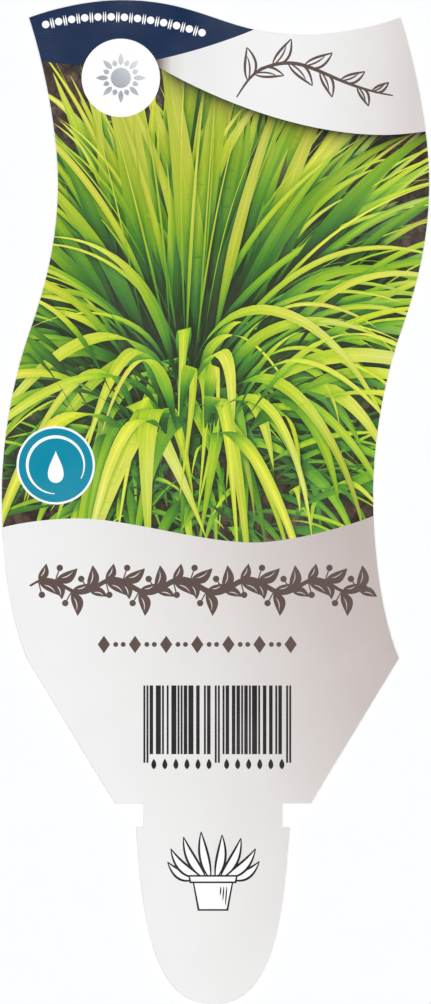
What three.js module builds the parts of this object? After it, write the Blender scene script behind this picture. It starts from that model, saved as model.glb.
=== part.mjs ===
// A stick-in plant label: one die-cut sheet of white plastic with wavy sides and a
// tongue that hooks into a slot in a flower pot's rim. It lies face up on its back.
// Millimetres: +X to the label's right, +Y to its top, +Z out of its printed face.
// The origin is under the middle of the sheet, on the surface it lies on.

import * as THREE from 'three';

// The sheet
const thickness = 0.5;
const edgeRounding = 0.05;     // the slight roll that the cutting die leaves on each rim
const curveSteps = 20;         // straight facets along each stretch of curve

// The body between its two wavy sides, which run alongside each other
const bodyWidth = 63.3;
const sideTopY = 82.5;         // the upper corners
const sideBottomY = -26.6;     // the lower corners, where the straight sides start

// The plug-in end, all centred on one line
const tongueCentreX = -0.43;
const shoulderHalfWidth = 16.65;
const shoulderY = -51.3;       // this edge sits on the pot's rim
const neckHalfWidth = 11.8;
const catchY = -55.43;         // these steps hook under the rim
const tongueHalfWidth = 13.08;
const tongueTipY = -85.5;

// A knot is a point that a curve goes through: where it is, the way the curve heads
// there in degrees from +X, and how far its handles reach before and after it.
const knot = (x, y, heading, before, after) => ({ x, y, heading, before, after });

const topEdge = [
  knot(-31.8, sideTopY, 20.5, 0, 5.2),
  knot(-15.9, 85.5, 0, 5.0, 13.8),
  knot(15.5, 79.5, 0, 13.8, 4.5),
  knot(31.5, sideTopY, 21.5, 4.8, 0),
];

const rightSide = [
  knot(31.5, sideTopY, -72, 0, 9),
  knot(36.43, 54.5, -90, 8, 9),
  knot(31.68, 29.2, -109.5, 9, 9),
  knot(26.87, 1.2, -90, 9, 8.1),
  knot(31.25, sideBottomY, -66.5, 8.1, 0),
];

// The left side is the right side moved over by the body's width, drawn upwards.
const leftSide = rightSide
  .map(({ x, y, heading, before, after }) => knot(x - bodyWidth, y, heading + 180, after, before))
  .reverse();

const tongueRight = [
  knot(tongueHalfWidth, catchY, -94.4, 0, 14.6),
  knot(0, tongueTipY, 180, 10.6, 0),
];

function drawCurve(outline, knots, shiftX = 0) {
  for (let i = 1; i < knots.length; i += 1) {
    const from = knots[i - 1];
    const to = knots[i];
    const leave = THREE.MathUtils.degToRad(from.heading);
    const arrive = THREE.MathUtils.degToRad(to.heading);
    outline.bezierCurveTo(
      shiftX + from.x + from.after * Math.cos(leave), from.y + from.after * Math.sin(leave),
      shiftX + to.x - to.before * Math.cos(arrive), to.y - to.before * Math.sin(arrive),
      shiftX + to.x, to.y,
    );
  }
}

function mirrored(knots) {
  return knots
    .map(({ x, y, heading, before, after }) => knot(-x, y, -heading, after, before))
    .reverse();
}

// One half of the plug-in end's steps, from the shoulder's outer corner to the tongue.
function notchCorners(side) {
  return [
    [tongueCentreX + side * shoulderHalfWidth, shoulderY],
    [tongueCentreX + side * neckHalfWidth, shoulderY],
    [tongueCentreX + side * neckHalfWidth, catchY],
    [tongueCentreX + side * tongueHalfWidth, catchY],
  ];
}

function labelOutline() {
  const outline = new THREE.Shape();
  outline.moveTo(topEdge[0].x, topEdge[0].y);
  drawCurve(outline, topEdge);
  drawCurve(outline, rightSide);
  notchCorners(1).forEach(([x, y]) => outline.lineTo(x, y));
  drawCurve(outline, tongueRight, tongueCentreX);
  drawCurve(outline, mirrored(tongueRight), tongueCentreX);
  notchCorners(-1).reverse().slice(1).forEach(([x, y]) => outline.lineTo(x, y));
  outline.lineTo(leftSide[0].x, leftSide[0].y);
  drawCurve(outline, leftSide);
  return outline;
}

function labelSheet() {
  const geometry = new THREE.ExtrudeGeometry(labelOutline(), {
    depth: thickness - 2 * edgeRounding,
    curveSegments: curveSteps,
    bevelEnabled: true,
    bevelThickness: edgeRounding,
    bevelSize: edgeRounding,
    bevelOffset: -edgeRounding,
    bevelSegments: 2,
  });
  geometry.translate(0, 0, edgeRounding);
  const whitePlastic = new THREE.MeshStandardMaterial({
    color: 0xf1f1f0,
    roughness: 0.32,
    metalness: 0,
  });
  const sheet = new THREE.Mesh(geometry, whitePlastic);
  sheet.name = 'label_sheet';
  return sheet;
}

const label = new THREE.Group();
label.add(labelSheet());

export default label;
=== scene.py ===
import math

import bmesh
import bpy
import numpy as np
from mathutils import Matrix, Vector, geometry


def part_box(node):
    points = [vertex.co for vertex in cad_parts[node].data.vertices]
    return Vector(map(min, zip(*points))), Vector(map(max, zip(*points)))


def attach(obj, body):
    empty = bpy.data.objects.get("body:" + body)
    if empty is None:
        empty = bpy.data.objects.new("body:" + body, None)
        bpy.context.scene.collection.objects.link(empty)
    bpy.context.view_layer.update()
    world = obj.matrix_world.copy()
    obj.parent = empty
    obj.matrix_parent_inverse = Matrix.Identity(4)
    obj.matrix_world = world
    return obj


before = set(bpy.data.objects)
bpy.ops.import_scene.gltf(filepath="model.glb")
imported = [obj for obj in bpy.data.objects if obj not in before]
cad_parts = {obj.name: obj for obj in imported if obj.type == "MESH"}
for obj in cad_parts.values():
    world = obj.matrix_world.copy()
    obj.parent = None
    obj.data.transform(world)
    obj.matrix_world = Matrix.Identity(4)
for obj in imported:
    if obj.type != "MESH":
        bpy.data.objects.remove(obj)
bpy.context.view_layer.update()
scene = bpy.context.scene

# Drawings are in millimetres on the label's printed face, seen from above:
# x to the label's right and y to its top, from the middle of the sheet.
MM = 0.001
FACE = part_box("label_sheet")[1][2]     # the height of the printed face
INK = 0.015 * MM                       # one layer of ink under its varnish
PICTURE, PALE, PANEL_MARK, DISC, DISC_MARK = 1, 2, 3, 4, 5       # ink layers, from the sheet up


# ------ drawing flat shapes

def towards(heading):
    """A step of length one, that many degrees round from +x."""
    turn = math.radians(heading)
    return np.array([math.cos(turn), math.sin(turn)])


def heading_at(path, at):
    x, y = path[at + 1] - path[at]
    return math.degrees(math.atan2(y, x))


def knot(x, y, heading, before=0.0, after=0.0):
    """A point on a curve: how it heads there, in degrees from +x, and its handles' reach."""
    way = Vector(towards(heading))
    place = Vector((x, y))
    return place - way * before, place, place + way * after


def curve(knots, steps=18):
    """Points along the smooth line through the knots."""
    line = [knots[0][1]]
    for (_, start, leave), (arrive, end, _) in zip(knots, knots[1:]):
        line += geometry.interpolate_bezier(start, leave, arrive, end, steps)[1:]
    return np.array([point[:2] for point in line])


def arc(x, y, radius, start, end, steps, whole=False):
    angle = np.radians(np.linspace(start, end, steps, endpoint=not whole))
    return np.stack([x + radius * np.cos(angle), y + radius * np.sin(angle)], -1)


def circle(x, y, radius, steps):
    return arc(x, y, radius, 0, 360, steps, whole=True)


def stroke(path, width):
    """A line of that width, or of a width for each of its points, as short flat tiles."""
    path = np.asarray(path, float)
    way = np.gradient(path, axis=0)
    way /= np.linalg.norm(way, axis=1)[:, None]
    half = np.broadcast_to(np.asarray(width, float) / 2, len(path))[:, None]
    across = half * np.stack([-way[:, 1], way[:, 0]], -1)
    sides = np.stack([path + across, path - across], 1)
    return [np.array([*sides[i], *sides[i + 1][::-1]]) for i in range(len(path) - 1)]


def brush(path, width):
    """A stroke that swells in the middle and thins out at both ends."""
    press = np.sin(np.linspace(0.06, 0.94, len(path)) * math.pi) ** 0.6
    return stroke(path, width * press)


def leaf(base, tip, width, bend=0.0, steps=14):
    """A pointed leaf from base to tip. Bend moves its middle to one side."""
    base, tip = np.array(base, float), np.array(tip, float)
    share = np.linspace(0, 1, steps)[:, None]
    across = np.array([base[1] - tip[1], tip[0] - base[0]]) / np.linalg.norm(tip - base)
    middle = base + (tip - base) * share + across * bend * 4 * share * (1 - share)
    half = width / 2 * np.sin(math.pi * share ** 0.8) ** 0.9
    return np.concatenate([middle - across * half, (middle + across * half)[-2:0:-1]])


def linear(colour):
    """Linear colours, with alpha, of display colours of 0 to 255."""
    value = np.clip(np.asarray(colour, float) / 255, 0, 1)
    value = np.where(value < 0.04045, value / 12.92, ((value + 0.055) / 1.055) ** 2.4)
    return np.concatenate([value, np.ones_like(value[..., :1])], -1)


def turned_left(outline):
    """The outline, run round so that its inside is on its left."""
    x, y = np.asarray(outline)[:, 0], np.asarray(outline)[:, 1]
    area = np.dot(x, np.roll(y, -1)) - np.dot(y, np.roll(x, -1))
    return outline if area > 0 else outline[::-1]


def overlaid(outlines, loose=()):
    """Points and flat faces of outlines laid over each other, and the outlines that hold each face."""
    corners, loops = [], []
    for outline in outlines:
        loops.append(list(range(len(corners), len(corners) + len(outline))))
        corners += [Vector(point) for point in outline]
    corners += [Vector(point) for point in loose]
    places, _, faces, _, _, owners = geometry.delaunay_2d_cdt(corners, [], loops, 0, 1e-5, True)
    return places, faces, [set(owner) for owner in owners]


def flat_mesh(places, faces):
    bm = bmesh.new()
    verts = [bm.verts.new((x * MM, y * MM, 0)) for x, y in places]
    for face in faces:
        bm.faces.new([verts[i] for i in face])
    bmesh.ops.delete(bm, geom=[v for v in bm.verts if not v.link_faces], context="VERTS")
    return bm


def joined(outlines, shared=False):
    """One flat mesh of all that the outlines cover, or only of what they share."""
    places, faces, owners = overlaid([turned_left(outline) for outline in outlines])
    needed = len(outlines) if shared else 1
    return flat_mesh(places, [face for face, inside in zip(faces, owners) if len(inside) >= needed])


def painted(coats, ink):
    """A flat mesh of one ink's showing part, where later coats of (ink, outline) hide earlier ones."""
    places, faces, owners = overlaid([turned_left(outline) for _, outline in coats])
    shows = [bool(inside) and coats[max(inside)][0] == ink for inside in owners]
    return flat_mesh(places, [face for face, seen in zip(faces, shows) if seen])


# ------ making pieces

def move_up(bm, height, verts=None):
    bmesh.ops.translate(bm, verts=verts or bm.verts, vec=(0, 0, height))


def new_object(name, bm, material):
    mesh = bpy.data.meshes.new(name)
    bm.to_mesh(mesh)
    bm.free()
    mesh.materials.append(material)
    made = bpy.data.objects.new(name, mesh)
    scene.collection.objects.link(made)
    return made


def finish_piece(name, bm, material, slot):
    piece = new_object(name, bm, material)
    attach(piece, "root")
    return piece


def disc(x, y, radius):
    bm = bmesh.new()
    bmesh.ops.create_circle(bm, cap_ends=True, segments=128, radius=radius * MM)
    bmesh.ops.translate(bm, verts=bm.verts, vec=(x * MM, y * MM, 0))
    return bm


def lay_film(name, bm, layer, material, slot):
    """Lays a flat drawing on the printed face, with its top that many ink layers up."""
    move_up(bm, FACE)
    raised = bmesh.ops.extrude_face_region(bm, geom=bm.faces[:])
    move_up(bm, INK * layer, [v for v in raised["geom"] if isinstance(v, bmesh.types.BMVert)])
    bmesh.ops.recalc_face_normals(bm, faces=bm.faces)
    return finish_piece(name, bm, material, slot)


def printed_rim():
    """The rim of the sheet's printed face, in order, in drawing millimetres."""
    bm = bmesh.new()
    bm.from_mesh(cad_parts["label_sheet"].data)
    bmesh.ops.remove_doubles(bm, verts=bm.verts, dist=1e-7)
    hidden = [f for f in bm.faces if f.calc_center_median().z < FACE - 1e-6]
    bmesh.ops.delete(bm, geom=hidden, context="FACES")
    first = next(e for e in bm.edges if e.is_boundary).link_loops[0]
    rim, loop = [], first
    while not rim or loop != first:
        rim.append(loop.vert.co.xy / MM)
        loop = loop.link_loop_next
        while not loop.edge.is_boundary:
            loop = loop.link_loop_radial_next.link_loop_next
    bm.free()
    return np.array(rim)


# ------ where the print goes

RIM = printed_rim()
FAR = 120.0                # past the sheet on every side

# The picture ends below in a long wave, and the pale foot of the label starts there.
picture_foot = curve([
    knot(-38, -4.9, 21, after=4.1),
    knot(-23.4, -2.8, 0, 4.1, 8.5),
    knot(6.5, -6.9, 0, 9.1, 6.1),
    knot(29, -1.4, 27, before=5.9),
])
# A pale ribbon sweeps in from behind the medallion, over the picture's top right.
ribbon_foot = curve([
    knot(-10, 74.2, -30, after=13.7),
    knot(28.6, 62.5, 0, 12.3, 3),
    knot(38, 63.4, 8, before=3),
])
# The navy header hangs from the label's top edge.
header_foot = curve([
    knot(-34, 75.6, -9, after=4),
    knot(-19, 74.2, 0, 4, 8),
    knot(9, 81.5, 25, before=8),
])
medallion = (-16.12, 72.21)
medallion_radius = 6.67
badge = (-27.2, 6.25)
badge_radius = 6.67
badge_rim = 0.37

panel_zone = np.concatenate([picture_foot, [(FAR, -FAR), (-FAR, -FAR)]])
picture_zone = np.concatenate([picture_foot, [(FAR, 76), (-FAR, 76)]])
ribbon_zone = np.concatenate([ribbon_foot, [(FAR, FAR), (-10, FAR)]])
header_zone = np.concatenate([header_foot, [(9, FAR), (-FAR, FAR)]])


# ------ the printed picture
# A clump of leafy grass, grown in the round by a seeded rule, seen from above and in
# front, and cut into one flat sheet of tiles, each in the colour of the blade that
# lies on top there. Its lengths are millimetres as printed.

CAMERA_PITCH = math.radians(43)
NEARER_IS_LARGER = 0.0065
CLUMP_HEART = np.array([-5.0, 25.0])
STATIONS = 20                          # points along each blade
SKY = np.array([-0.38, 0.42, 0.82])
SKY = SKY / np.linalg.norm(SKY)
TOWARDS_VIEWER = np.array([0, -math.cos(CAMERA_PITCH), math.sin(CAMERA_PITCH)])
SHEEN = (SKY + TOWARDS_VIEWER) / np.linalg.norm(SKY + TOWARDS_VIEWER)

# Leaf colours from the deepest shade to a sunlit tip, as display values of 0 to 255.
LEAF_STEPS = [0, 0.16, 0.34, 0.56, 0.72, 0.86, 1]
LEAF_COLOURS = np.array([
    (51, 66, 41), (58, 97, 46), (72, 134, 51), (119, 172, 44),
    (160, 193, 46), (188, 206, 56), (209, 215, 82),
], float)
DRY_LEAF = np.array([196, 166, 92], float)
LEAF_SHEEN = np.array([214, 226, 190], float)
SOIL = np.array([63, 53, 46], float)
SOIL_UNDER_LEAVES = np.array([46, 60, 37], float)

# Each tuft of blades: how many, where they face (0 is right, 90 away from the viewer),
# where and how widely they root, and their length, rise, droop, half width and tone.
# Scatter turns single blades. Pile moves a tuft up or down in the order of covering.
TUFT_PARTS = "count facing root spread length rise droop half_width scatter tone pile".split()
TUFTS = [dict(zip(TUFT_PARTS, row)) for row in [
    (460, (0, 360), (0, -9), (30, 31), (14, 34), (30, 70), (35, 100), (0.5, 1.3), 32, (0.06, 0.6), -16),
    (150, (58, 122), (0, 0), (28, 11), (24, 72), (60, 88), (20, 96), (0.9, 2.3), 30, (0.74, 1.3), 0),
    (90, (12, 66), (0, -2), (16, 9), (32, 56), (50, 80), (34, 86), (0.9, 2.1), 14, (-0.35, 0.4), 0),
    (90, (116, 168), (0, -2), (16, 9), (32, 54), (50, 80), (34, 86), (0.8, 2.0), 14, (0.1, 0.9), 0),
    (75, (-44, 14), (0, -3), (18, 10), (34, 60), (44, 76), (50, 112), (0.7, 1.8), 15, (-0.4, 0.4), 0),
    (75, (166, 224), (0, -3), (18, 10), (34, 60), (44, 76), (50, 112), (0.7, 1.8), 15, (0.1, 0.9), 0),
    (95, (206, 334), (0, -5), (22, 14), (32, 66), (52, 82), (80, 136), (0.9, 2.1), 15, (0.25, 1), 2),
    (12, (50, 130), (0, -4), (14, 8), (46, 70), (60, 84), (10, 60), (0.16, 0.3), 12, (0.9, 1), 12),
    (48, (200, 340), (0, -22), (32, 13), (16, 32), (35, 75), (40, 110), (0.5, 1.3), 40, (0.0, 0.55), -14),
]]


def smooth(value, low, high):
    """0 below low, 1 above high, and a soft step between them."""
    share = np.clip((value - low) / (high - low), 0, 1)
    return share * share * (3 - 2 * share)


def grow_tuft(rng, tuft):
    """The blades of one tuft: their spines, faces and colours at each station."""
    count = tuft["count"]
    outward = np.radians(rng.uniform(*tuft["facing"], count))
    reach = rng.uniform(0.05, 1, count) ** 0.8
    root_x = tuft["root"][0] + tuft["spread"][0] * reach * np.cos(outward) + rng.normal(0, 1, count)
    root_y = tuft["root"][1] + tuft["spread"][1] * reach * np.sin(outward) + rng.normal(0, 1, count)
    facing = outward + np.radians(tuft["scatter"]) * rng.normal(size=count)
    length = rng.uniform(*tuft["length"], count)
    rise = np.radians(rng.uniform(*tuft["rise"], count) - 6 * reach)
    droop = np.radians(rng.uniform(*tuft["droop"], count))
    late = rng.uniform(1.2, 2.3, count)
    swing = np.radians(rng.normal(0, 16, count))
    roll = np.radians(rng.normal(0, 20, count))
    twist = np.radians(rng.normal(0, 32, count))
    thin, broad = tuft["half_width"]
    half_width = thin + (broad - thin) * rng.uniform(0, 1, count) ** 1.7
    tone = rng.uniform(*tuft["tone"], count)
    dry = (rng.uniform(size=count) < 0.08) * rng.uniform(0.4, 1, count)
    stripe = rng.uniform(0, 1, count) ** 2.4
    lift = rng.normal(tuft["pile"], 3, count)

    share = np.linspace(0, 1, STATIONS) ** 0.75        # of the blade's length, from root to tip
    climb = rise[:, None] - droop[:, None] * share ** late[:, None]
    heading = facing[:, None] + swing[:, None] * share
    way = np.stack([np.cos(climb) * np.cos(heading), np.cos(climb) * np.sin(heading), np.sin(climb)], -1)
    step = (way[:, 1:] + way[:, :-1]) / 2 * (length[:, None] * np.diff(share))[..., None]
    root = np.stack([root_x, root_y, 0 * root_x], -1)[:, None]
    spine = root + np.concatenate([0 * step[:, :1], np.cumsum(step, 1)], 1)
    upper = np.stack([-np.sin(climb) * np.cos(heading), -np.sin(climb) * np.sin(heading), np.cos(climb)], -1)
    side = np.cross(way, upper)
    turn = (roll[:, None] + twist[:, None] * share)[..., None]
    taper = np.where(share > 0.3, np.clip((1 - share) / 0.7, 0, 1) ** 0.82, 1)
    half_width = half_width[:, None] * np.minimum(1, 0.08 + 3.2 * share) * taper

    def all_along(value):
        return np.broadcast_to(value[:, None], half_width.shape)

    return {
        "spine": spine,
        "across": (side * np.cos(turn) + upper * np.sin(turn)) * half_width[..., None],
        "upper": upper * np.cos(turn) - side * np.sin(turn),
        "half_width": half_width,
        "share": np.broadcast_to(share, half_width.shape),
        "run": share * length[:, None],
        "tone": all_along(tone),
        "dry": all_along(dry),
        "stripe": all_along(stripe),
        "lift": all_along(lift),
    }


def onto_print(points):
    """Where points of the clump show in the picture, and how near the viewer they are."""
    near = points @ TOWARDS_VIEWER
    up = points[..., 1] * math.sin(CAMERA_PITCH) + points[..., 2] * math.cos(CAMERA_PITCH)
    flat = np.stack([points[..., 0], up], -1) * (1 + NEARER_IS_LARGER * near)[..., None]
    return flat + CLUMP_HEART, near


def within(quads, points):
    """Whether each point lies in its quad, which may run either way round."""
    found = False
    for triangle in ((0, 1, 2), (0, 2, 3)):
        sides = []
        for start, end in zip(triangle, triangle[1:] + triangle[:1]):
            edge = quads[..., end, :] - quads[..., start, :]
            reach = points - quads[..., start, :]
            sides.append(edge[..., 0] * reach[..., 1] - edge[..., 1] * reach[..., 0])
        found |= np.all([side >= 0 for side in sides], 0) | np.all([side <= 0 for side in sides], 0)
    return found


class Clump:
    """The grown clump as flat quads, one between each two stations of a blade."""

    def __init__(self, seed):
        rng = np.random.default_rng(seed)
        tufts = [grow_tuft(rng, tuft) for tuft in TUFTS]
        self.blades = {key: np.concatenate([tuft[key] for tuft in tufts]) for key in tufts[0]}
        left, near_left = onto_print(self.blades["spine"] - self.blades["across"])
        right, near_right = onto_print(self.blades["spine"] + self.blades["across"])
        self.blades["near"] = (near_left + near_right) / 2
        self.blade, self.station = np.divmod(np.arange(len(left) * (STATIONS - 1)), STATIONS - 1)
        self.pile = (self.blades["near"].mean(1) + self.blades["lift"][:, 0])[self.blade]
        here, beyond = (self.blade, self.station), (self.blade, self.station + 1)
        self.corners = self.untwisted(np.stack([left[here], right[here], right[beyond], left[beyond]], 1))
        self.start = (left[here] + right[here]) / 2
        self.axis = (left[beyond] + right[beyond]) / 2 - self.start
        self.start_half = (right[here] - left[here]) / 2
        self.end_half = (right[beyond] - left[beyond]) / 2

    @staticmethod
    def untwisted(corners):
        """The quads with no crossed sides, each run round with its inside on its left."""
        def bend(a, b, c):
            (x, y), (u, v) = (corners[:, b] - corners[:, a]).T, (corners[:, c] - corners[:, a]).T
            return x * v - y * u
        crossed = bend(0, 1, 2) * bend(0, 2, 3) < 0
        corners[crossed] = corners[crossed][:, [0, 1, 3, 2]]
        backwards = bend(0, 1, 2) + bend(0, 2, 3) < 0
        corners[backwards] = corners[backwards][:, ::-1]
        return corners

    def along(self, quads, points):
        """How far along its quad each point is, from 0 to 1."""
        axis = self.axis[quads]
        reach = ((points - self.start[quads]) * axis).sum(-1)
        return np.clip(reach / np.maximum((axis * axis).sum(-1), 1e-9), 0, 1)

    def off_centre(self, quads, points, along):
        """How far off the blade's spine each point is, from -1 to 1."""
        half = self.start_half[quads] * (1 - along)[..., None] + self.end_half[quads] * along[..., None]
        centre = self.start[quads] + self.axis[quads] * along[..., None]
        reach = ((points - centre) * half).sum(-1)
        return np.clip(reach / np.maximum((half * half).sum(-1), 1e-9), -1, 1)

    def value(self, name, quads, along):
        """One of the blades' values at a place along each quad."""
        values = self.blades[name]
        blade, station = self.blade[quads], self.station[quads]
        if values.ndim == 3:
            along = along[..., None]
        return values[blade, station] * (1 - along) + values[blade, station + 1] * along


class Proof:
    """A coarse proof of the picture, to see which blades show and where they are crowded."""

    low = np.array([-39.0, -9.0])
    high = np.array([39.0, 78.0])
    fineness = 8                       # cells to a millimetre

    def __init__(self, clump):
        columns, rows = ((self.high - self.low) * self.fineness).astype(int)
        ys = self.low[1] + (np.arange(rows) + 0.5) / self.fineness
        ground = (CLUMP_HEART[1] - ys) / math.tan(CAMERA_PITCH)
        self.near = np.repeat(ground[:, None], columns, 1)
        self.owner = np.full((rows, columns), -1)
        self.pile = np.full((rows, columns), -40.0)
        whole = np.zeros(len(clump.blade))
        cells = (clump.corners - self.low) * self.fineness
        for quad, corners in enumerate(cells):
            x0, y0 = np.maximum(corners.min(0).astype(int), 0)
            x1, y1 = np.minimum(corners.max(0).astype(int) + 2, (columns, rows))
            if x1 <= x0 or y1 <= y0:
                continue
            spots = np.stack(np.meshgrid(np.arange(x0, x1) + 0.5, np.arange(y0, y1) + 0.5), -1)
            covered = within(corners, spots)
            points = spots / self.fineness + self.low
            whole[quad] = covered.sum()
            near = clump.value("near", quad, clump.along(quad, points))
            window = (slice(y0, y1), slice(x0, x1))
            wins = covered & (clump.pile[quad] >= self.pile[window])
            self.pile[window][wins] = clump.pile[quad]
            self.owner[window][wins] = quad
            self.near[window][wins] = near[wins]
        self.shown = np.bincount(self.owner[self.owner >= 0], minlength=len(clump.blade))
        clump.blades["hidden"] = self.hidden(whole)
        self.close_pile = self.blurred(self.pile, 0.45)
        self.wide_crowd = self.blurred(self.near, 2.6)
        self.leaf_cover = self.blurred((self.owner >= 0).astype(float), 1.0)

    def hidden(self, whole):
        """How much of each blade other blades cover, about each of its stations."""
        parts = []
        for cells in (self.shown, whole):
            cells = np.pad(cells.reshape(-1, STATIONS - 1).astype(float), ((0, 0), (3, 3)))
            parts.append(sum(cells[:, shift:shift + STATIONS] for shift in range(6)))
        return 1 - parts[0] / np.maximum(parts[1], 1)

    def blurred(self, field, radius):
        reach = int(3 * radius * self.fineness)
        offset = np.arange(-reach, reach + 1) / self.fineness
        weight = np.exp(-offset ** 2 / 2 / radius ** 2)
        weight /= weight.sum()
        field = np.pad(field, reach, mode="edge")
        for axis in (0, 1):
            field = np.apply_along_axis(np.convolve, axis, field, weight, "valid")
        return field

    def read(self, field, points):
        """The field between its cells."""
        spot = (points - self.low) * self.fineness - 0.5
        cell = np.clip(spot.astype(int), 0, np.array(field.shape[::-1]) - 2)
        fx, fy = np.clip(spot - cell, 0, 1).T
        x, y = cell.T
        lower = field[y, x] * (1 - fx) + field[y, x + 1] * fx
        upper = field[y + 1, x] * (1 - fx) + field[y + 1, x + 1] * fx
        return lower * (1 - fy) + upper * fy


def leaf_colour(clump, proof, quads, points, along, off):
    """What is printed where a blade shows, as display values of 0 to 255."""
    def value(name):
        return clump.value(name, quads, along)

    close_shade = np.clip((proof.read(proof.close_pile, points) - clump.pile[quads]) / 5, 0, 1)
    deep_shade = np.clip((proof.read(proof.wide_crowd, points) - value("near")) / 9, -0.3, 1)
    height = value("spine")[..., 2]
    upper = value("upper")
    facing_sky = upper @ SKY
    lit = np.abs(facing_sky) * np.where(facing_sky < 0, 0.85, 1)
    raised = smooth(height, 2, 34)
    tip = value("share")
    heart = np.exp(-(((points - CLUMP_HEART - (0, 5)) / (17, 15)) ** 2).sum(-1))
    fold = np.tanh(3 * off) * np.where(clump.blade[quads] % 2, 1, -1)
    # Each weight says how much that thing lightens the leaf, or darkens it where it is taken off.
    tone = 0.32 + 0.36 * value("tone") + 0.16 * tip + 0.3 * raised - 0.22 * value("hidden")
    tone += 0.28 * (lit - 0.6) - 0.24 * close_shade - 0.22 * deep_shade - 0.14 * heart + 0.05 * fold
    tone = np.clip(tone, 0, 1)
    colour = np.stack([np.interp(tone, LEAF_STEPS, LEAF_COLOURS[:, c]) for c in range(3)], -1)
    dry = value("dry") * smooth(tip, 0.55, 1) * 0.8
    colour += (DRY_LEAF - colour) * dry[..., None]
    light = (0.92 + 0.14 * lit) * (1 - 0.1 * close_shade) * (1 - 0.1 * np.clip(deep_shade, 0, 1))
    colour *= light[..., None]
    sheen = 0.4 * np.abs(upper @ SHEEN) ** 26 * (1 - close_shade) * raised
    return colour + (LEAF_SHEEN - colour) * sheen[..., None]


def soil_colour(proof, crumbs, points):
    """Bare crumbly soil, which falls into green shade between crowded blades."""
    shade = smooth(proof.read(proof.leaf_cover, points), 0.4, 0.95)[..., None]
    colour = SOIL * (1 + 0.14 * proof.read(crumbs, points))[..., None]
    return colour + (SOIL_UNDER_LEAVES - colour) * shade


TILE = 8.0                 # the picture is cut tile by tile, which is much faster
SHADING_STEP = 0.62        # how finely soft shade is carried between the blades' edges
FEWEST_CELLS = 2           # a quad that shows in fewer cells of the proof is left out
BARE_SOIL = -1.0           # what the stripe map says where no blade lies
BLADE_PITCH = 10.0         # how far apart the blades' spines lie in the fibre map
BLADE_LANES = 97           # how many spines it holds before it starts again
UNDERSIDE_CORNER = Vector((0.9, 0.02))       # its place in the bake's map, clear of the picture
UNDERSIDE_SIZE = 0.08
CLUMP_SEED, CRUMB_SEED = 11, 3


def cut_tile(clump, quads, low):
    """Flat triangles of one square tile of the picture, and the quads that cover each."""
    square = low + TILE * np.array([(0, 0), (1, 0), (1, 1), (0, 1)])
    frames = [square, turned_left(RIM), turned_left(picture_zone)]
    steps = np.linspace(0, TILE, round(TILE / SHADING_STEP) + 1)
    lattice = [low + (x, y) for x in steps for y in steps]
    places, faces, owners = overlaid(frames + [clump.corners[quad] for quad in quads], lattice)
    triangles, covers = [], []
    for face, inside in zip(faces, owners):
        if inside.issuperset((0, 1, 2)):
            triangles.append([places[i][:] for i in face])
            covers.append([quads[i - 3] for i in inside if i > 2])
    return triangles, covers


def cut_picture(clump, proof):
    """All the picture's triangles, and the quad that lies on top in each, or -1 for soil."""
    shows = (proof.shown >= FEWEST_CELLS).reshape(-1, STATIONS - 1)
    shows[:, 1:] |= shows[:, :-1]
    shows[:, :-1] |= shows[:, 1:]
    showing = np.flatnonzero(shows)
    lowest, highest = clump.corners[showing].min(1), clump.corners[showing].max(1)
    triangles, covers = [], []
    for y in np.arange(proof.low[1], proof.high[1], TILE):
        for x in np.arange(proof.low[0], proof.high[0], TILE):
            low = np.array([x, y])
            near_tile = np.all((lowest < low + TILE) & (highest > low), 1)
            found = cut_tile(clump, showing[near_tile], low)
            triangles += found[0]
            covers += found[1]
    triangles = np.array(triangles)
    which = np.repeat(np.arange(len(covers)), [len(cover) for cover in covers])
    quad = np.concatenate([np.array(cover, int) for cover in covers])
    # A sliver can be said to cover a whole tile, so each claim is looked at again.
    true = within(clump.corners[quad], triangles[which].mean(1))
    which, quad = which[true], quad[true]
    order = np.lexsort((clump.pile[quad], which))
    top = np.full(len(triangles), -1)
    top[which[order]] = quad[order]
    return triangles, top


SHADOW_DEPTH, SHADOW_REACH = 0.68, 1.4


def ribbon_shadow(points):
    """How much light the ribbon's printed shadow leaves on the picture below its edge."""
    below = np.interp(points[:, 0], ribbon_foot[:, 0], ribbon_foot[:, 1]) - points[:, 1]
    past_start = smooth(points[:, 0], -12, -6)
    return 1 - SHADOW_DEPTH * past_start * np.exp(-np.clip(below, 0, 9) / SHADOW_REACH)


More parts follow.
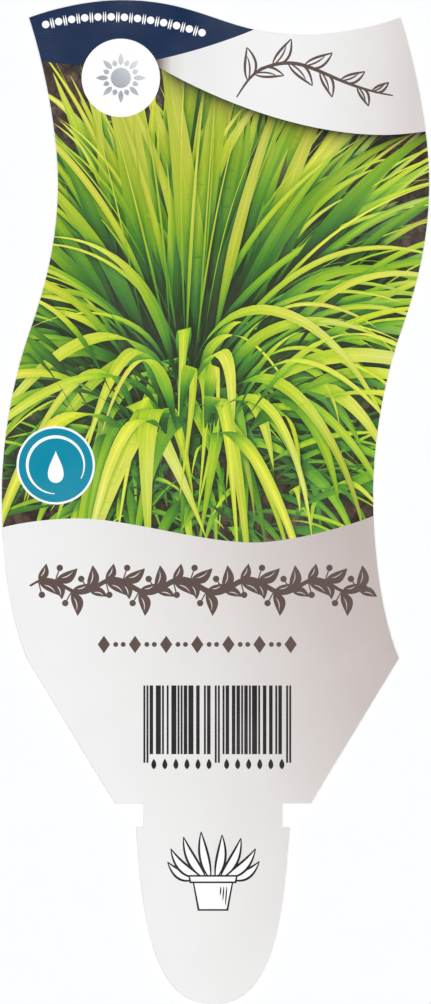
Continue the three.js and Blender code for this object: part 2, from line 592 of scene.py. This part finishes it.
def print_picture(material):
    clump = Clump(CLUMP_SEED)
    proof = Proof(clump)
    rng = np.random.default_rng(CRUMB_SEED)
    crumbs = sum(proof.blurred(rng.normal(size=proof.owner.shape), size) * size * 20 for size in (0.3, 1.4))
    triangles, top = cut_picture(clump, proof)
    points = triangles.reshape(-1, 2)
    quads = np.repeat(top, 3)
    leafy = quads >= 0
    colour = soil_colour(proof, crumbs, points)
    spot, quad = points[leafy], quads[leafy]
    along = clump.along(quad, spot)
    off = clump.off_centre(quad, spot, along)
    colour[leafy] = leaf_colour(clump, proof, quad, spot, along, off)
    colour *= ribbon_shadow(points)[:, None]
    fibre = np.tile([BLADE_PITCH / 2, 0.0], (len(points), 1))
    across = off * clump.value("half_width", quad, along) + BLADE_PITCH * (clump.blade[quad] % BLADE_LANES)
    fibre[leafy] = np.stack([across, clump.value("run", quad, along)], -1)
    stripe = np.tile([0.0, BARE_SOIL], (len(points), 1))
    stripe[leafy] = np.stack([off, clump.value("stripe", quad, along)], -1)
    bake = (points - points.min(0)) / np.ptp(points, axis=0).max() * 0.98 + 0.01

    mesh = bpy.data.meshes.new("cut")
    faces = np.arange(len(points)).reshape(-1, 3)
    mesh.from_pydata(np.column_stack([points * MM, np.full(len(points), FACE)]), [], faces.tolist())
    ink = mesh.color_attributes.new("print_colour", "FLOAT_COLOR", "CORNER")
    ink.data.foreach_set("color", linear(colour).ravel())
    for name, places in (("fibre", fibre), ("stripe", stripe), ("OFBake", bake)):
        mesh.uv_layers.new(name=name).data.foreach_set("uv", places.ravel())

    bm = bmesh.new()
    bm.from_mesh(mesh)
    bpy.data.meshes.remove(mesh)
    bmesh.ops.remove_doubles(bm, verts=bm.verts, dist=2e-8)
    move_up(bm, INK * PICTURE)
    wall = bmesh.ops.extrude_edge_only(bm, edges=[e for e in bm.edges if e.is_boundary])["geom"]
    move_up(bm, -INK * PICTURE, [v for v in wall if isinstance(v, bmesh.types.BMVert)])
    underside = bmesh.ops.holes_fill(bm, edges=[e for e in bm.edges if e.is_boundary])["faces"]
    bake_map = bm.loops.layers.uv["OFBake"]
    for face in underside:
        for loop in face.loops:
            loop[bake_map].uv = loop[bake_map].uv * UNDERSIDE_SIZE + UNDERSIDE_CORNER
    return finish_piece("grass_picture", bm, material, "picture_ink")


# ------ materials

def add_node(tree, kind, inputs=None, **settings):
    """A node whose inputs are wired to a socket or set to a value."""
    made = tree.nodes.new("ShaderNode" + kind)
    for name, value in settings.items():
        setattr(made, name, value)
    for name, value in (inputs or {}).items():
        if isinstance(value, bpy.types.NodeSocket):
            tree.links.new(value, made.inputs[name])
        else:
            made.inputs[name].default_value = value
    return made


def calculate(tree, operation, *values):
    return add_node(tree, "Math", dict(enumerate(values)), operation=operation).outputs[0]


def for_each_axis(tree, operation, *values):
    """The same sum on all three parts of a colour or a place."""
    return add_node(tree, "VectorMath", dict(enumerate(values)), operation=operation).outputs[0]


def dimmed(tree, colour, strength):
    return add_node(tree, "VectorMath", {0: colour, "Scale": strength}, operation="SCALE").outputs[0]


def ranged(tree, value, low, high, start=0.0, end=1.0, **settings):
    """The value's way from low to high, as a way from start to end."""
    ends = {"From Min": low, "From Max": high, "To Min": start, "To Max": end}
    return add_node(tree, "MapRange", {"Value": value, **ends}, **settings).outputs[0]


def noise(tree, coordinates, scale, detail=2.0, low=0.3, high=0.7):
    """Noise from -1 to 1. Scale is in features to a metre."""
    cloud = add_node(tree, "TexNoise", {"Vector": coordinates, "Scale": scale, "Detail": detail})
    return ranged(tree, cloud.outputs["Fac"], low, high, -1.0)


def mixed(tree, share, first, second):
    """A colour between two, which are sockets or display colours."""
    inputs = {0: share}
    for place, colour in ((6, first), (7, second)):
        inputs[place] = colour if isinstance(colour, bpy.types.NodeSocket) else tuple(linear(colour))
    return add_node(tree, "Mix", inputs, data_type="RGBA").outputs[2]


def object_place(tree):
    return add_node(tree, "TexCoord").outputs["Object"]


def new_group(name, inputs, outputs):
    """A node group's tree, the sockets that it is given and the node that takes its results."""
    tree = bpy.data.node_groups.new(name, "ShaderNodeTree")
    for label, value in inputs.items():
        kind = "NodeSocketColor" if value is None else "NodeSocketFloat"
        socket = tree.interface.new_socket(label, in_out="INPUT", socket_type=kind)
        if value is not None:
            socket.default_value = value
    for label, kind in outputs.items():
        tree.interface.new_socket(label, in_out="OUTPUT", socket_type="NodeSocket" + kind)
    return tree, tree.nodes.new("NodeGroupInput").outputs, tree.nodes.new("NodeGroupOutput")


def put_out(tree, end, **sockets):
    for label, socket in sockets.items():
        tree.links.new(socket, end.inputs[label])


def make_print_grain():
    """Ink that lies a little unevenly: fine grain, and broad clouds of thicker ink."""
    tree, given, end = new_group("print_grain", {"Colour": None, "Grain": 0.03, "Cloud": 0.01},
                                 {"Colour": "Color"})
    place = object_place(tree)
    grain = calculate(tree, "MULTIPLY", noise(tree, place, 6500.0), given["Grain"])
    cloud = calculate(tree, "MULTIPLY", noise(tree, place, 130.0, 3.0), given["Cloud"])
    strength = calculate(tree, "ADD", calculate(tree, "ADD", grain, cloud), 1.0)
    put_out(tree, end, Colour=dimmed(tree, given["Colour"], strength))
    return tree


def make_varnish():
    """The skin of the varnish: a slow ripple, fine orange peel, faint rubs and fine scratches."""
    tree, given, end = new_group("varnish", {"Roughness": 0.22, "Peel": 0.5, "Ripple": 12.0, "Rubs": 0.07},
                                 {"Roughness": "Float", "Normal": "Vector"})
    place = object_place(tree)
    peel = calculate(tree, "MULTIPLY", noise(tree, place, 1300.0, 1.0), given["Peel"])
    ripple = calculate(tree, "MULTIPLY", noise(tree, place, 42.0, 0.0), given["Ripple"])
    drawn = add_node(tree, "Mapping", {"Vector": place, "Rotation": (0, 0, 0.5), "Scale": (60, 5200, 60)})
    scratch = calculate(tree, "MULTIPLY_ADD", noise(tree, drawn.outputs[0], 1.0, 2.0, 0.66, 0.8), 0.5, 0.5)
    rub = calculate(tree, "ADD", noise(tree, place, 95.0, 4.0), scratch)
    rough = calculate(tree, "MULTIPLY_ADD", rub, given["Rubs"], given["Roughness"])
    microns = calculate(tree, "ADD", peel, ripple)
    bump = add_node(tree, "Bump", {"Height": calculate(tree, "MULTIPLY", microns, 1e-6), "Distance": 1.0})
    put_out(tree, end, Roughness=rough, Normal=bump.outputs[0])
    return tree


def make_leaf_fibres():
    """Fine veins along each printed blade, its paler midrib, and a golden stripe between green edges."""
    tree, given, end = new_group("leaf_fibres", {
        "Colour": None, "Across": 0.0, "Run": 0.0, "Off Spine": 0.0, "Stripe": 0.0, "Depth": 0.1,
    }, {"Colour": "Color"})
    stretched = add_node(tree, "CombineXYZ", {
        "X": calculate(tree, "MULTIPLY", given["Across"], 5.5),
        "Y": calculate(tree, "MULTIPLY", given["Run"], 0.16),
    })
    vein = noise(tree, stretched.outputs[0], 1.0, 3.0)
    off_spine = calculate(tree, "PINGPONG", given["Across"], BLADE_PITCH / 2)
    rib = ranged(tree, off_spine, 0.16, 0.05, interpolation_type="SMOOTHSTEP")
    mark = calculate(tree, "MULTIPLY_ADD", rib, 1.2, vein)
    strength = calculate(tree, "MULTIPLY_ADD", mark, given["Depth"], 1.0)
    veined = dimmed(tree, given["Colour"], strength)
    wander = calculate(tree, "MULTIPLY_ADD", vein, 0.12, calculate(tree, "ABSOLUTE", given["Off Spine"]))
    middle = ranged(tree, wander, 0.75, 0.25, -0.4, interpolation_type="SMOOTHSTEP")
    share = calculate(tree, "MULTIPLY", middle, given["Stripe"])
    golden = for_each_axis(tree, "MULTIPLY_ADD", share, (0.28, 0.13, -0.12), (1, 1, 1))
    put_out(tree, end, Colour=for_each_axis(tree, "MULTIPLY", veined, golden))
    return tree


def make_soil_crumbs():
    """Crumbs of soil, each a little lighter, darker or redder, with dark joints between them."""
    tree, given, end = new_group("soil_crumbs", {"Colour": None, "Amount": 1.0}, {"Colour": "Color"})
    place = object_place(tree)
    sway = add_node(tree, "TexNoise", {"Vector": place, "Scale": 700.0, "Detail": 2.0})
    warped = for_each_axis(tree, "MULTIPLY_ADD", sway.outputs["Color"], (0.9 * MM,) * 3, place)
    crumb = add_node(tree, "TexVoronoi", {"Vector": warped, "Scale": 850.0})
    chance = add_node(tree, "SeparateColor", {0: crumb.outputs["Color"]}).outputs
    joint = ranged(tree, crumb.outputs["Distance"], 0.3, 0.75, 0.0, -0.5)
    light = calculate(tree, "MULTIPLY_ADD", calculate(tree, "POWER", chance["Red"], 3.0), 0.95, joint)
    redder = calculate(tree, "MULTIPLY", calculate(tree, "POWER", chance["Green"], 4.0), given["Amount"])
    bright = calculate(tree, "MULTIPLY_ADD", light, given["Amount"], 1.0)
    warmth = for_each_axis(tree, "MULTIPLY_ADD", redder, (0.5, 0.05, -0.1), (1, 1, 1))
    toned = dimmed(tree, given["Colour"], bright)
    put_out(tree, end, Colour=for_each_axis(tree, "MULTIPLY", toned, warmth))
    return tree


PRINT_GRAIN = make_print_grain()
VARNISH = make_varnish()
LEAF_FIBRES = make_leaf_fibres()
SOIL_CRUMBS = make_soil_crumbs()


def use_group(tree, group, **inputs):
    inputs = {label.replace("_", " "): value for label, value in inputs.items()}
    return add_node(tree, "Group", inputs, node_tree=group).outputs


def new_material(name, specular=0.5, coat=0.0):
    material = bpy.data.materials.new(name)
    material.use_nodes = True
    tree = material.node_tree
    shader = tree.nodes["Principled BSDF"]
    shader.inputs["Specular IOR Level"].default_value = specular
    shader.inputs["Coat Weight"].default_value = coat
    shader.inputs["Coat Roughness"].default_value = 0.12
    return material, tree, shader.inputs


def wire_skin(tree, shader, colour, **varnish):
    """Gives a shader its colour and the varnish's roughness and normal."""
    skin = use_group(tree, VARNISH, **varnish)
    tree.links.new(colour, shader["Base Color"])
    tree.links.new(skin["Roughness"], shader["Roughness"])
    tree.links.new(skin["Normal"], shader["Normal"])


def plain_ink(name, colour, grain=0.03, cloud=0.012):
    """One printed colour under gloss varnish."""
    material, tree, shader = new_material(name, coat=0.4)
    inked = use_group(tree, PRINT_GRAIN, Colour=tuple(linear(colour)), Grain=grain, Cloud=cloud)
    wire_skin(tree, shader, inked["Colour"])
    return material


def shaded_ink(name, direction, stops, grain=0.006):
    """A printed vignette. Its stops are millimetres along the direction and colours."""
    material, tree, shader = new_material(name, coat=0.4)
    along = add_node(tree, "VectorMath", {0: object_place(tree), 1: (*direction, 0)}, operation="DOT_PRODUCT")
    first, last = stops[0][0], stops[-1][0]
    ramp = add_node(tree, "ValToRGB", {0: ranged(tree, along.outputs["Value"], first * MM, last * MM)})
    while len(ramp.color_ramp.elements) < len(stops):
        ramp.color_ramp.elements.new(0.5)
    for element, (place, colour) in zip(ramp.color_ramp.elements, stops):
        element.position = (place - first) / (last - first)
        element.color = linear(colour)
    inked = use_group(tree, PRINT_GRAIN, Colour=ramp.outputs[0], Grain=grain, Cloud=0.004)
    wire_skin(tree, shader, inked["Colour"])
    return material


def picture_material():
    material, tree, shader = new_material("leaf_picture_print", coat=0.4)
    printed = add_node(tree, "VertexColor", layer_name="print_colour")
    fibre, stripe = (
        add_node(tree, "SeparateXYZ", {0: add_node(tree, "UVMap", uv_map=name).outputs[0]}).outputs
        for name in ("fibre", "stripe")
    )
    veined = use_group(tree, LEAF_FIBRES, Colour=printed.outputs[0], Across=fibre["X"], Run=fibre["Y"],
                       Off_Spine=stripe["X"], Stripe=stripe["Y"], Depth=0.1)
    crumbled = use_group(tree, SOIL_CRUMBS, Colour=printed.outputs[0])
    bare = calculate(tree, "LESS_THAN", stripe["Y"], BARE_SOIL / 2)
    printed = mixed(tree, bare, veined["Colour"], crumbled["Colour"])
    inked = use_group(tree, PRINT_GRAIN, Colour=printed, Grain=0.045, Cloud=0.02)
    wire_skin(tree, shader, inked["Colour"])
    return material


def plastic_material():
    """White polypropylene with a satin back. Its die-cut edge is sheared, paler and duller."""
    material, tree, shader = new_material("white_polypropylene")
    normal = add_node(tree, "SeparateXYZ", {0: add_node(tree, "NewGeometry").outputs["Normal"]}).outputs
    upright = calculate(tree, "ABSOLUTE", normal["Z"])
    sheared = ranged(tree, upright, 0.9, 0.2)
    place = object_place(tree)
    milky = noise(tree, place, 55.0, 3.0)
    tint = mixed(tree, calculate(tree, "MULTIPLY_ADD", milky, 0.3, 0.5), (241, 241, 239), (246, 246, 245))
    edged = mixed(tree, sheared, tint, (250, 250, 250))
    speckled = use_group(tree, PRINT_GRAIN, Colour=edged, Grain=0.01, Cloud=0.01)
    dull = calculate(tree, "MULTIPLY_ADD", sheared, 0.25, 0.42)
    wire_skin(tree, shader, speckled["Colour"], Roughness=dull, Peel=1.6, Rubs=0.09)
    return material


white_print = plain_ink("white_print", (255, 255, 255), grain=0.004, cloud=0.003)
navy_print = plain_ink("navy_print", (21, 43, 78))
teal_print = plain_ink("teal_print", (0, 141, 169), grain=0.04)
brown_print = plain_ink("warm_brown_print", (97, 80, 75), grain=0.07)
dark_print = plain_ink("near_black_print", (38, 36, 37), grain=0.06)
silver_print = shaded_ink("silver_print", (0.62, 0.78), [
    (39.6, (214, 219, 224)), (44.2, (162, 168, 174)), (47.0, (190, 195, 200)),
    (50.4, (226, 229, 232)),
])
panel_print = shaded_ink("pale_panel_print", (1, 0.35), [
    (-42, (242, 242, 242)), (-34, (241, 241, 241)), (-26, (238, 238, 237)), (-18, (234, 233, 231)),
    (-10, (230, 226, 225)), (-2, (221, 216, 213)), (6, (212, 204, 202)), (14, (203, 193, 191)),
    (22, (195, 184, 180)),
])
ribbon_print = shaded_ink("pale_ribbon_print", (1, 0), [
    (-9.6, (126, 112, 106)), (-8.7, (184, 175, 170)), (-7.5, (225, 222, 220)), (-5.2, (235, 235, 235)),
    (-2.6, (237, 237, 237)), (2.5, (241, 241, 241)), (7.6, (243, 243, 243)), (12.7, (243, 243, 243)),
    (17.8, (240, 240, 240)), (22.9, (235, 234, 232)), (28.0, (229, 225, 224)), (30.6, (224, 218, 218)),
    (32.3, (220, 215, 212)), (33.9, (216, 210, 208)),
])
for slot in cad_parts["label_sheet"].material_slots:
    slot.material = plastic_material()


# ------ the printed areas

print_picture(picture_material())
lay_film("pale_panel", joined([RIM, panel_zone], shared=True), PALE, panel_print, "pale_ink")
lay_film("pale_ribbon", joined([RIM, ribbon_zone], shared=True), PALE, ribbon_print, "pale_ink")
lay_film("navy_header", joined([RIM, header_zone], shared=True), PANEL_MARK, navy_print, "navy_ink")


def header_beads():
    """Beads in a curved row, with two thin reels between each two."""
    row = curve([
        knot(-28.9, 81.3, 14, after=3.4), knot(-18.2, 82.6, 0, 4, 6), knot(-2.3, 79.9, -17, before=5),
    ], 120)
    length = np.concatenate([[0], np.cumsum(np.linalg.norm(np.diff(row, axis=0), axis=1))])
    gaps = 12
    pitch = length[-1] / gaps

    def at(distance):
        return np.array([np.interp(distance, length, row[:, axis]) for axis in (0, 1)])

    shapes = [circle(*at(bead * pitch), 0.64, 28) for bead in range(gaps + 1)]
    for reel in range(2 * gaps):
        distance = (reel // 2 + (0.42, 0.58)[reel % 2]) * pitch
        middle = at(distance)
        way = at(distance + 0.1) - middle
        upright = 0.95 * np.array([-way[1], way[0]]) / np.linalg.norm(way)
        shapes.append(leaf(middle - upright, middle + upright, 0.26))
    return joined(shapes)


def silver_sun():
    shapes = [circle(*medallion, 1.72, 48)]
    for ray in range(16):
        way = towards(22.5 * ray + 90)
        reach = 4.25 if ray % 2 == 0 else 3.25
        shapes.append(leaf(medallion + 2.15 * way, medallion + reach * way, 0.86))
    return joined(shapes)


lay_film("header_beads", header_beads(), DISC, white_print, "white_ink")
lay_film("white_medallion", disc(*medallion, medallion_radius), DISC, white_print, "white_ink")
lay_film("silver_sun", silver_sun(), DISC_MARK, silver_print, "silver_ink")


# ------ the round badge

def badge_marks():
    """A ring that thins towards its ends, round one drop of water."""
    x, y = badge
    ring = arc(x, y, 4.85, -28, 268, 60)
    shapes = stroke(ring, 0.12 + 0.42 * np.sin(np.linspace(0, math.pi, len(ring))) ** 0.8)
    fall = np.linspace(0, 2 * math.pi, 60, endpoint=False)
    drop = np.stack([x + 1.95 * np.sin(fall) * np.sin(fall / 2) ** 1.6, y - 0.25 + 2.75 * np.cos(fall)], -1)
    return joined(shapes + [drop])


lay_film("badge_rim", disc(*badge, badge_radius), PANEL_MARK, white_print, "white_ink")
lay_film("badge_disc", disc(*badge, badge_radius - badge_rim), DISC, teal_print, "teal_ink")
lay_film("badge_drop", badge_marks(), DISC_MARK, white_print, "white_ink")


# ------ marks on the pale areas

def pen_edges(rim, steps, pen):
    """Both edges of a leaf of that many steps, each a pen stroke from base to tip."""
    return brush(rim[:steps], pen) + brush(np.concatenate([rim[:1], rim[:steps - 2:-1]]), pen)


def drawn_leaf(base, heading, length, width, bend, pen):
    """A leaf drawn with a pen: its two edges and a short vein."""
    tip = base + length * towards(heading)
    rim = leaf(base, tip, width, bend, 24)
    vein = leaf(base, base + (tip - base) * 0.72, 0.01, bend * 0.72, 12)[:12]
    return pen_edges(rim, 24, pen) + brush(vein, pen * 0.7)


def brush_sprig():
    """A leafy sprig in loose pen strokes, leaning to the right."""
    stem = curve([
        knot(3.6, 68.9, 58, after=3.6), knot(9.8, 74.4, 14, 3.4, 3.6),
        knot(19.4, 72.6, -24, 4.4, 4.2), knot(30.2, 69.2, -10, before=4.2),
    ], 30)
    shapes = brush(stem, 0.62)
    for share, side, length in (
        (0.13, 1, 5.6), (0.2, -1, 5.0), (0.34, 1, 5.4), (0.43, -1, 5.6), (0.54, 1, 5.2),
        (0.63, -1, 4.8), (0.73, 1, 4.4), (0.82, -1, 3.8), (0.9, 1, 3.2),
    ):
        at = int(share * (len(stem) - 1))
        heading = heading_at(stem, at) + side * 42
        shapes += drawn_leaf(stem[at], heading, length, length * 0.34, -side * 0.09 * length, 0.44)
    return joined(shapes)


def leaf_garland():
    """A waving stem with paired leaves and small berries, as on a carved frieze."""
    stem_x = np.linspace(-31.6, 25.8, 161)
    wave = 2 * math.pi / 11.48
    stem = np.stack([stem_x, -14.3 + 1.15 * np.sin((stem_x + 31.6) * wave)], -1)
    coats = [("brown", tile) for tile in brush(stem, 0.95)]
    for at in range(4, 158, 8):
        along = heading_at(stem, at)
        side = 1 if (at // 8) % 2 else -1
        for turn, length, width in ((side * 56, 4.2, 1.95), (-side * 44, 3.1, 1.55)):
            way = towards(along + turn)
            base = stem[at] + 0.2 * way
            tip = base + length * way
            bend = -math.copysign(0.12 * length, turn)
            coats.append(("brown", leaf(base, tip, width, bend, 16)))
            vein = leaf(base + (tip - base) * 0.22, base + (tip - base) * 0.8, 0.16, bend * 0.62, 8)
            coats.append(("bare", vein))
        berry = stem[at] + 2.4 * towards(along + side * 97)
        coats += [("brown", tile) for tile in stroke([stem[at], (stem[at] + berry) / 2, berry], 0.22)]
        coats.append(("brown", circle(*berry, 0.55, 20)))
    return painted(coats, "brown")


def diamond_border():
    """Diamonds in a row, with two dots between each two."""
    shapes = []
    pitch = 5.3
    for place in range(7):
        x, y = -19.0 + pitch * place, -24.25
        shapes.append(np.array([(x - 1.05, y), (x, y - 1.5), (x + 1.05, y), (x, y + 1.5)]))
        if place < 6:
            shapes += [circle(x + pitch * share, y, 0.42, 20) for share in (0.38, 0.62)]
    return joined(shapes)


BARS_SEED = 7


def ruled_bars():
    """Plain upright bars of mixed widths, in two blocks between longer pairs."""
    rng = np.random.default_rng(BARS_SEED)
    module, left, top = 0.26416, -12.24, -31.23
    short_foot, long_foot = -42.94, -44.4
    spread = 0.036                         # the ink creeps this far past each side
    bars = []

    def bar(start, width, foot):
        x0, x1 = left + start * module - spread, left + (start + width) * module + spread
        bars.append(np.array([(x0, foot), (x1, foot), (x1, top), (x0, top)]))

    for start in (0, 2, 46, 48, 92, 94):
        bar(start, 1, long_foot)
    for start, end in ((3, 45), (50, 92)):
        at = start + 1
        while at < end - 1:
            width = min(rng.choice([1, 2, 3], p=[0.42, 0.34, 0.24]), end - 1 - at)
            bar(at, width, short_foot)
            at += width + rng.choice([1, 2, 3], p=[0.64, 0.28, 0.08])
    return joined(bars)


def seed_rows():
    """Two rows of plain seeds under the blocks of bars."""
    return joined([
        leaf((x, -45.5), (x, -43.7), 0.86)
        for first, last in ((-10.5, -1.1), (1.9, 11.3)) for x in np.linspace(first, last, 6)
    ])


def grass_pot():
    """A grass in a pot, drawn with a pen: coats of white for its body and of dark for its lines."""
    middle, foot, rim_low, rim_high = -0.43, -69.6, -64.9, -63.5
    pen, line = 0.4, 0.3
    coats = []
    for x, heading, length, bend in (
        (-2.6, 152, 5.8, 0.9), (2.6, 28, 6.0, -0.9), (-2.0, 136, 7.2, 0.9), (1.9, 43, 7.3, -0.8),
        (-1.3, 118, 7.9, 0.6), (1.3, 63, 7.6, -0.6), (-0.5, 101, 8.0, 0.3), (0.5, 82, 7.4, -0.4),
    ):
        base = np.array([middle + x, rim_high - 0.5])
        rim = leaf(base, base + length * towards(heading), 1.5, bend, 20)
        coats.append(("white", rim))
        coats += [("dark", tile) for tile in pen_edges(rim, 20, pen)]

    def tapered(half_top, half_foot, top, low, inset):
        return np.array([
            (middle - half_foot + inset, low + inset), (middle + half_foot - inset, low + inset),
            (middle + half_top - inset, top - inset), (middle - half_top + inset, top - inset),
        ])

    for half_top, half_foot, top, low in ((3.5, 2.6, rim_low + 0.4, foot), (4.2, 4.0, rim_high, rim_low)):
        coats.append(("dark", tapered(half_top, half_foot, top, low, 0)))
        coats.append(("white", tapered(half_top, half_foot, top, low, line)))
    for x, reach in ((2.35, 3.2), (1.85, 2.4), (1.35, 1.5)):
        down = np.linspace(0, reach, 9)
        hatch = np.stack([middle + x - 0.07 * down, rim_low - 0.55 - down], -1)
        coats += [("dark", tile) for tile in brush(hatch, 0.24)]
    return coats


for name, drawing, material, slot in (
    ("brush_sprig", brush_sprig(), brown_print, "brown_ink"),
    ("leaf_garland", leaf_garland(), brown_print, "brown_ink"),
    ("diamond_border", diamond_border(), brown_print, "brown_ink"),
    ("ruled_bars", ruled_bars(), dark_print, "dark_ink"),
    ("seed_rows", seed_rows(), dark_print, "dark_ink"),
    ("potted_grass_body", painted(grass_pot(), "white"), white_print, "white_ink"),
    ("potted_grass_lines", painted(grass_pot(), "dark"), dark_print, "dark_ink"),
):
    lay_film(name, drawing, PANEL_MARK, material, slot)


# ------ floor, light and camera

FLOOR_DROP, FLOOR_REACH = 0.02 * MM, 3.0
LAMP_STRENGTH, LAMP_SPREAD, LAMP_HEIGHT = 0.88, math.radians(32), 1.15
CAMERA_HEIGHT, CAMERA_LENS = 0.95017, 200

pale_floor, tree, shader = new_material("pale_floor", specular=0.0)
speckle = use_group(tree, PRINT_GRAIN, Colour=tuple(linear((248, 249, 250))), Grain=0.002, Cloud=0.002)
tree.links.new(speckle["Colour"], shader["Base Color"])
shader["Roughness"].default_value = 0.9
bm = bmesh.new()
bmesh.ops.create_grid(bm, x_segments=1, y_segments=1, size=FLOOR_REACH)
move_up(bm, -FLOOR_DROP)
new_object("floor", bm, pale_floor)

# Wide, far lights that fall evenly on the label and all of the floor.
for side, x, y in (("left", -0.65, 0.1), ("right", 0.65, -0.1), ("top", 0.1, 0.65), ("foot", -0.1, -0.65)):
    light = bpy.data.lights.new(side + "_light", "SUN")
    light.angle = LAMP_SPREAD
    light.energy = LAMP_STRENGTH
    lamp = bpy.data.objects.new(side + "_light", light)
    lamp.location = (x, y, LAMP_HEIGHT)
    lamp.rotation_euler = (-lamp.location).to_track_quat("-Z", "Y").to_euler()
    scene.collection.objects.link(lamp)

# The room is dim, so that it puts no haze on the gloss, but its walls look white.
ROOM_LIGHT, WALLS = 0.07, 0.93
world = bpy.data.worlds.new("studio")
world.use_nodes = True
seen = add_node(world.node_tree, "LightPath").outputs["Is Camera Ray"]
background = world.node_tree.nodes["Background"].inputs
background["Color"].default_value = (1, 1, 1, 1)
glow = calculate(world.node_tree, "MULTIPLY_ADD", seen, WALLS - ROOM_LIGHT, ROOM_LIGHT)
world.node_tree.links.new(glow, background["Strength"])
scene.world = world
scene.view_settings.view_transform = "Standard"

camera_data = bpy.data.cameras.new("camera")
camera_data.lens = CAMERA_LENS
camera = bpy.data.objects.new("camera", camera_data)
camera.location = (0, 0, CAMERA_HEIGHT)
scene.collection.objects.link(camera)
scene.camera = camera
